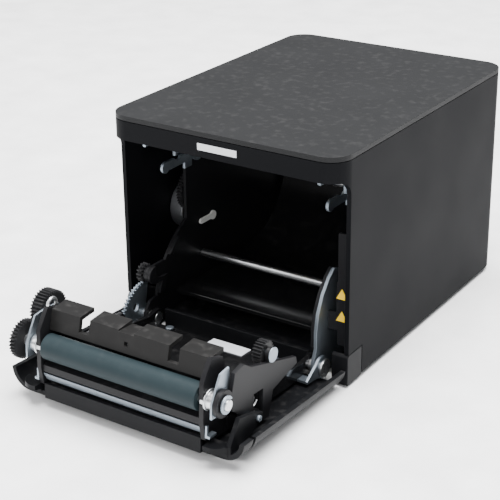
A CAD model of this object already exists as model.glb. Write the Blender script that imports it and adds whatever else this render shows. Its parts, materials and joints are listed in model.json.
import json
from math import cos, radians, sin

import bmesh
import bpy
from mathutils import Matrix, Vector

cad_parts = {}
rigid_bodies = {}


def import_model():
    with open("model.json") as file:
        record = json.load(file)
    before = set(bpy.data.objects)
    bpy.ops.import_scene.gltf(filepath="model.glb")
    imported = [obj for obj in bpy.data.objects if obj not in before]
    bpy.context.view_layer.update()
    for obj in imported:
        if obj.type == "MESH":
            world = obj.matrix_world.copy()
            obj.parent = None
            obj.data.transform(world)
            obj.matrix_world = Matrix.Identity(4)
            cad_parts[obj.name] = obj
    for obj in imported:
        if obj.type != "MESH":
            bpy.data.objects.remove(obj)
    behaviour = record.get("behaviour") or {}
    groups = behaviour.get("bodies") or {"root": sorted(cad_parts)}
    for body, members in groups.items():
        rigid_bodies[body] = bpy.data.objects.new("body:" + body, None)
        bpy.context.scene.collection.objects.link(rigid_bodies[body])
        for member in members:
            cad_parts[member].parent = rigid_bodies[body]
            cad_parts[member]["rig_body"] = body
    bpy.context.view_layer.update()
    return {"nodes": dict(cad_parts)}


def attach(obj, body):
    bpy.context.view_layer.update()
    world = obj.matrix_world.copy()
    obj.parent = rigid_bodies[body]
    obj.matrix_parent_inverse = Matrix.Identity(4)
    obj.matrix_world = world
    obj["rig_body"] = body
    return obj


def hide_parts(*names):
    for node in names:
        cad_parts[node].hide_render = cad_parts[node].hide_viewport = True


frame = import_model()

MM = 0.001


# --- Case -------------------------------------------------------------------------
# The case is one deep moulding of fine-textured charcoal plastic: four walls with
# upright rounded corners and a visor across the front. A lighter plate closes the top.

def grain_group():
    """Spark-eroded mould texture: a fine bump and a slow drift of tone"""
    group = bpy.data.node_groups.new("mould_texture", "ShaderNodeTree")
    group.interface.new_socket("Scale", in_out="INPUT", socket_type="NodeSocketFloat")
    group.interface.new_socket("Height", in_out="OUTPUT", socket_type="NodeSocketFloat")
    group.interface.new_socket("Drift", in_out="OUTPUT", socket_type="NodeSocketFloat")
    entry = group.nodes.new("NodeGroupInput")
    leave = group.nodes.new("NodeGroupOutput")
    place = group.nodes.new("ShaderNodeTexCoord")
    fine = group.nodes.new("ShaderNodeTexNoise")
    slow = group.nodes.new("ShaderNodeTexNoise")
    fine.inputs["Detail"].default_value = 3
    slow.inputs["Scale"].default_value = 34
    slow.inputs["Detail"].default_value = 5
    link = group.links.new
    link(place.outputs["Object"], fine.inputs["Vector"])
    link(place.outputs["Object"], slow.inputs["Vector"])
    link(entry.outputs["Scale"], fine.inputs["Scale"])
    link(fine.outputs["Fac"], leave.inputs["Height"])
    link(slow.outputs["Fac"], leave.inputs["Drift"])
    return group


def dust_group():
    """Fine dust that settles on what faces up, broken by noise"""
    group = bpy.data.node_groups.new("settled_dust", "ShaderNodeTree")
    group.interface.new_socket("Amount", in_out="INPUT", socket_type="NodeSocketFloat")
    group.interface.new_socket("Mask", in_out="OUTPUT", socket_type="NodeSocketFloat")
    entry = group.nodes.new("NodeGroupInput")
    leave = group.nodes.new("NodeGroupOutput")
    place = group.nodes.new("ShaderNodeTexCoord")
    noise = group.nodes.new("ShaderNodeTexNoise")
    noise.inputs["Scale"].default_value = 260
    noise.inputs["Detail"].default_value = 8
    ramp = group.nodes.new("ShaderNodeMapRange")
    ramp.inputs["From Min"].default_value = 0.52
    ramp.inputs["From Max"].default_value = 0.78
    facing = group.nodes.new("ShaderNodeNewGeometry")
    split = group.nodes.new("ShaderNodeSeparateXYZ")
    upward = group.nodes.new("ShaderNodeMath")
    upward.operation = "MULTIPLY"
    upward.use_clamp = True
    share = group.nodes.new("ShaderNodeMath")
    share.operation = "MULTIPLY"
    share.use_clamp = True
    link = group.links.new
    link(place.outputs["Object"], noise.inputs["Vector"])
    link(noise.outputs["Fac"], ramp.inputs["Value"])
    link(facing.outputs["Normal"], split.inputs["Vector"])
    link(split.outputs["Z"], upward.inputs[0])
    link(ramp.outputs["Result"], upward.inputs[1])
    link(upward.outputs["Value"], share.inputs[0])
    link(entry.outputs["Amount"], share.inputs[1])
    link(share.outputs["Value"], leave.inputs["Mask"])
    return group


mould_texture = grain_group()
settled_dust = dust_group()


def moulded(name, colour, roughness, texture=2600, depth=0.25, dust=0.12, coat=0.0,
             shine=0.12):
    """A moulded plastic: textured, with a little drift of tone and gloss, and dust on top"""
    material = bpy.data.materials.new(name)
    material.use_nodes = True
    nodes = material.node_tree.nodes
    link = material.node_tree.links.new
    skin = nodes["Principled BSDF"]
    skin.inputs["Specular IOR Level"].default_value = shine
    skin.inputs["Coat Weight"].default_value = coat
    skin.inputs["Coat Roughness"].default_value = 0.12
    grain = nodes.new("ShaderNodeGroup")
    grain.node_tree = mould_texture
    grain.inputs["Scale"].default_value = texture
    tone = nodes.new("ShaderNodeMix")
    tone.data_type = "RGBA"
    tone.inputs["A"].default_value = (*[0.82 * c for c in colour], 1)
    tone.inputs["B"].default_value = (*[1.18 * c for c in colour], 1)
    link(grain.outputs["Drift"], tone.inputs["Factor"])
    powder = nodes.new("ShaderNodeGroup")
    powder.node_tree = settled_dust
    powder.inputs["Amount"].default_value = dust
    dusty = nodes.new("ShaderNodeMix")
    dusty.data_type = "RGBA"
    dusty.inputs["B"].default_value = (0.32, 0.31, 0.30, 1)
    link(powder.outputs["Mask"], dusty.inputs["Factor"])
    link(tone.outputs["Result"], dusty.inputs["A"])
    link(dusty.outputs["Result"], skin.inputs["Base Color"])
    sheen = nodes.new("ShaderNodeMapRange")
    sheen.inputs["To Min"].default_value = max(0.04, roughness - 0.07)
    sheen.inputs["To Max"].default_value = min(0.95, roughness + 0.07)
    link(grain.outputs["Drift"], sheen.inputs["Value"])
    link(sheen.outputs["Result"], skin.inputs["Roughness"])
    bump = nodes.new("ShaderNodeBump")
    bump.inputs["Strength"].default_value = depth
    bump.inputs["Distance"].default_value = 0.05 * MM
    link(grain.outputs["Height"], bump.inputs["Height"])
    link(bump.outputs["Normal"], skin.inputs["Normal"])
    return material


def eased(node, edge, material, segments=2):
    """A node's shape with its edges eased, as they leave a mould or a press"""
    source = frame["nodes"][node]
    shape = bmesh.new()
    shape.from_mesh(source.data)
    bmesh.ops.remove_doubles(shape, verts=shape.verts, dist=0.001 * MM)
    bmesh.ops.dissolve_limit(shape, angle_limit=radians(0.4), verts=shape.verts, edges=shape.edges)
    for face in shape.faces:
        face.smooth = True
    mesh = bpy.data.meshes.new(f"{node}_finished")
    shape.to_mesh(mesh)
    shape.free()
    mesh.materials.append(material)
    piece = bpy.data.objects.new(f"{node}_finished", mesh)
    bpy.context.scene.collection.objects.link(piece)
    bevel = piece.modifiers.new("eased_edges", "BEVEL")
    bevel.width = edge * MM
    bevel.segments = segments
    bevel.limit_method = "ANGLE"
    bevel.angle_limit = radians(38)
    bevel.use_clamp_overlap = True
    flats = piece.modifiers.new("flat_faces", "WEIGHTED_NORMAL")
    flats.weight = 100
    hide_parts(node)
    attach(piece, source["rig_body"])
    return piece


case_plastic = moulded("case_plastic", (0.0040, 0.0042, 0.0050), 0.55, dust=0.03, shine=0.04)
top_plastic = moulded("top_plastic", (0.0105, 0.0108, 0.0114), 0.55, dust=0.03)
eased("side_case", 0.9, case_plastic, 3)
eased("top_plate", 1.0, top_plastic, 3)

badge_paint = moulded("badge_paint", (0.62, 0.63, 0.65), 0.32, dust=0.02)
eased("badge_bar", 0.12, badge_paint)


# --- Base -------------------------------------------------------------------------
# The base tray is a flat moulding with two upright ears at the hinge. It stands on
# four moulded rubber feet, and steel screws hold the mechanism down to its bosses.

door_plastic = moulded("door_plastic", (0.0050, 0.0052, 0.0060), 0.46, dust=0.05, shine=0.08)
eased("base_tray", 0.5, door_plastic)
foot_rubber = moulded("foot_rubber", (0.012, 0.012, 0.012), 0.80, texture=1400, depth=0.5)
eased("rubber_feet", 0.5, foot_rubber)


def plated(name, colour, roughness, along="X", streak=1500):
    """Plated or ground metal, with rolling marks along one way and faint stains"""
    material = bpy.data.materials.new(name)
    material.use_nodes = True
    nodes = material.node_tree.nodes
    link = material.node_tree.links.new
    skin = nodes["Principled BSDF"]
    skin.inputs["Metallic"].default_value = 1.0
    place = nodes.new("ShaderNodeTexCoord")
    stretch = nodes.new("ShaderNodeMapping")
    stretch.inputs["Scale"].default_value = [0.04 if axis == along else 1.0 for axis in "XYZ"]
    marks = nodes.new("ShaderNodeTexNoise")
    marks.inputs["Scale"].default_value = streak
    marks.inputs["Detail"].default_value = 4
    link(place.outputs["Object"], stretch.inputs["Vector"])
    link(stretch.outputs["Vector"], marks.inputs["Vector"])
    stains = nodes.new("ShaderNodeTexNoise")
    stains.inputs["Scale"].default_value = 150
    stains.inputs["Detail"].default_value = 6
    link(place.outputs["Object"], stains.inputs["Vector"])
    tone = nodes.new("ShaderNodeMix")
    tone.data_type = "RGBA"
    tone.inputs["A"].default_value = (*[0.78 * c for c in colour], 1)
    tone.inputs["B"].default_value = (*[min(1, 1.10 * c) for c in colour], 1)
    link(stains.outputs["Fac"], tone.inputs["Factor"])
    link(tone.outputs["Result"], skin.inputs["Base Color"])
    sheen = nodes.new("ShaderNodeMapRange")
    sheen.inputs["To Min"].default_value = max(0.05, roughness - 0.12)
    sheen.inputs["To Max"].default_value = roughness + 0.14
    link(marks.outputs["Fac"], sheen.inputs["Value"])
    link(sheen.outputs["Result"], skin.inputs["Roughness"])
    bump = nodes.new("ShaderNodeBump")
    bump.inputs["Strength"].default_value = 0.12
    bump.inputs["Distance"].default_value = 0.02 * MM
    link(marks.outputs["Fac"], bump.inputs["Height"])
    link(bump.outputs["Normal"], skin.inputs["Normal"])
    return material


zinc_plate = plated("zinc_plate", (0.28, 0.32, 0.36), 0.46, along="Z")
eased("base_screws", 0.25, zinc_plate)


# --- Roll bay ---------------------------------------------------------------------
# The paper roll drops into a half tub of glossy black plastic between two side
# plates. Black edging runs up the front of each plate, and a rod guides the paper.

gloss_black = moulded("gloss_black", (0.006, 0.006, 0.0065), 0.16, texture=420, depth=0.04,
                      dust=0.04, coat=0.3, shine=0.4)
black_plastic = moulded("black_plastic", (0.008, 0.008, 0.009), 0.40, dust=0.05)
ground_steel = plated("ground_steel", (0.60, 0.61, 0.62), 0.30, along="X")
eased("roll_cradle", 0.4, gloss_black)
for node in ("left_side_frame", "left_frame_rim", "right_frame_rim", "right_bay_panel"):
    eased(node, 0.3, black_plastic)
eased("right_side_frame", 0.2, zinc_plate)
eased("guide_rod", 0.3, ground_steel)

feeler_plastic = moulded("feeler_plastic", (0.62, 0.62, 0.60), 0.35, dust=0.04)
eased("paper_end_lever", 0.2, feeler_plastic)
tag_film = moulded("tag_film", (0.80, 0.52, 0.02), 0.38, texture=900, depth=0.05, dust=0.02)
eased("caution_tags", 0.05, tag_film)


# --- Print head and latch ---------------------------------------------------------
# A glazed ceramic head sits on an aluminium bar under springs. Stamped hooks
# turn on a cross shaft to hold the door, beside plates that guide it in.

head_ceramic = moulded("head_ceramic", (0.42, 0.36, 0.26), 0.18, texture=300, depth=0.05, dust=0.0)
heatsink_alloy = plated("heatsink_alloy", (0.58, 0.60, 0.62), 0.38, along="X")
eased("head_cover", 0.4, black_plastic)
eased("print_head", 0.15, head_ceramic)
eased("head_heatsink", 0.3, heatsink_alloy)
eased("head_springs", 0.15, ground_steel)
eased("latch_guides", 0.25, zinc_plate)
eased("latch_shaft", 0.3, ground_steel)
for node in ("latch_hook_left", "latch_hook_right"):
    eased(node, 0.25, zinc_plate)


# --- Feed drive and damper --------------------------------------------------------
# A stepper motor turns a large acetal gear through a brass pinion. A grease damper
# with a small gear slows the door as it falls open.

motor_can = plated("motor_can", (0.36, 0.37, 0.39), 0.40, along="X")
brass = plated("brass", (0.66, 0.48, 0.20), 0.28, along="X")
gear_plastic = moulded("gear_plastic", (0.014, 0.014, 0.015), 0.36, texture=900, depth=0.10, dust=0.05)
eased("feed_motor", 0.4, motor_can)
eased("motor_pinion", 0.06, brass)
eased("drive_cover", 0.2, black_plastic)
eased("drive_gear", 0.08, gear_plastic)
eased("damper_body", 0.2, black_plastic)
eased("damper_gear", 0.08, gear_plastic)


# --- Electronics and back ---------------------------------------------------------
# The main board stands behind the roll. Its sockets open into a recessed black
# panel in the back, with a rocker switch.

board_mask = moulded("board_mask", (0.01, 0.07, 0.035), 0.30, texture=700, depth=0.08, dust=0.05)
socket_shell = plated("socket_shell", (0.62, 0.63, 0.65), 0.26, along="Y")
eased("main_board", 0.15, board_mask)
eased("rear_panel", 0.4, black_plastic)
eased("power_inlet", 0.2, black_plastic)
eased("data_ports", 0.15, socket_shell)
eased("power_switch", 0.4, gloss_black)


# --- Door -------------------------------------------------------------------------
# The door is a textured moulding with wrapped sides and a lip. A glossy black tray
# screwed inside it closes the roll bay. A pale tag lies on the tray near the hinge.

eased("door_cover", 0.7, door_plastic, 3)
eased("door_tray", 0.4, gloss_black)
eased("tray_screws", 0.25, zinc_plate)
tag_paper = moulded("tag_paper", (0.74, 0.76, 0.80), 0.55, texture=1800, depth=0.08, dust=0.05)
eased("door_label", 0.05, tag_paper)
button_plastic = moulded("button_plastic", (0.05, 0.052, 0.056), 0.40)
eased("feed_button", 0.3, button_plastic)


# --- Platen unit ------------------------------------------------------------------
# A rubber-covered steel shaft runs in two bearings between black cheeks. A grey
# guide panel stands behind it, and a thin steel strip tears the paper in front.

guide_grey = moulded("guide_grey", (0.0085, 0.0083, 0.0082), 0.45, dust=0.05)
platen_rubber = moulded("platen_rubber", (0.011, 0.019, 0.022), 0.55, texture=1700, depth=0.35, dust=0.02)
eased("platen_frame", 0.35, black_plastic)
eased("guide_panel", 0.35, guide_grey)
eased("platen_roller", 0.4, platen_rubber)
eased("platen_shaft", 0.4, ground_steel)
eased("platen_bearings", 0.25, ground_steel)
eased("platen_gear", 0.08, gear_plastic)
eased("shaft_clip", 0.1, zinc_plate)
eased("idler_gear", 0.08, gear_plastic)
eased("idler_stud", 0.25, ground_steel)
eased("tear_strip", 0.12, zinc_plate)
eased("cutter_blade", 0.12, ground_steel)
eased("lock_plates", 0.2, zinc_plate)
eased("wire_bracket", 0.1, ground_steel)


# --- Door's right side ------------------------------------------------------------
# A black arm carries the knife's gear and the lever that lets the door go, and a
# small coil spring returns the lever.

eased("side_bracket", 0.3, black_plastic)
eased("lever_spring", 0.02, ground_steel)
eased("release_lever", 0.5, door_plastic, 3)
eased("cutter_gear", 0.08, gear_plastic)
eased("cutter_cap", 0.2, zinc_plate)


# --- Hinge ------------------------------------------------------------------------
# Stamped zinc plates join the door to two shouldered pins. The left one is a
# toothed quarter that drives the damper.

eased("sector_gear", 0.1, zinc_plate)
eased("hinge_plate", 0.25, zinc_plate)
eased("hinge_pins", 0.3, ground_steel)


# --- Studio -----------------------------------------------------------------------
# The printer stands on a pale sweep under one large overhead softbox. Two smaller ones
# light it from the left and the front, and the camera looks down on its front right corner.

paper_sweep = moulded("paper_sweep", (0.86, 0.86, 0.86), 0.75, texture=300, depth=0.02, dust=0.0)
sweep = bmesh.new()
bmesh.ops.create_grid(sweep, x_segments=2, y_segments=2, size=3)
floor_mesh = bpy.data.meshes.new("floor")
sweep.to_mesh(floor_mesh)
sweep.free()
floor_mesh.materials.append(paper_sweep)
floor = bpy.data.objects.new("floor", floor_mesh)
bpy.context.scene.collection.objects.link(floor)


def softbox(name, place, aim, size, power):
    """A square area light at place that looks at aim"""
    light = bpy.data.lights.new(name, "AREA")
    light.size = size
    light.energy = power
    lamp = bpy.data.objects.new(name, light)
    lamp.location = place
    lamp.rotation_euler = (Vector(aim) - Vector(place)).to_track_quat("-Z", "Y").to_euler()
    bpy.context.scene.collection.objects.link(lamp)


softbox("overhead_light", (0.1, 0.1, 1.5), (0, 0, 0), 1.4, 125)
softbox("left_light", (-1.2, -0.9, 0.9), (0, 0, 0.05), 0.9, 14)
softbox("front_light", (0.5, -1.4, 0.7), (0, 0, 0.05), 0.9, 14)

world = bpy.data.worlds.new("studio")
world.use_nodes = True
world.node_tree.nodes["Background"].inputs["Color"].default_value = (0.95, 0.96, 1.0, 1)
world.node_tree.nodes["Background"].inputs["Strength"].default_value = 0.42
bpy.context.scene.world = world

turn = radians(33.673)
tilt = radians(21.718)
roll = radians(-0.642)
eye = (0.323003, -0.503295, 0.305198)
backward = Vector((sin(turn) * cos(tilt), -cos(turn) * cos(tilt), sin(tilt)))
level = (-backward).cross(Vector((0, 0, 1))).normalized()
upright = level.cross(-backward)
across = level * cos(roll) + upright * sin(roll)
upward = upright * cos(roll) - level * sin(roll)
view = bpy.data.cameras.new("camera")
view.lens = 97.184
view.sensor_width = 36
view.shift_y = -0.1
camera = bpy.data.objects.new("camera", view)
camera.matrix_world = Matrix.Translation(eye) @ Matrix((across, upward, backward)).transposed().to_4x4()
bpy.context.scene.collection.objects.link(camera)
bpy.context.scene.camera = camera
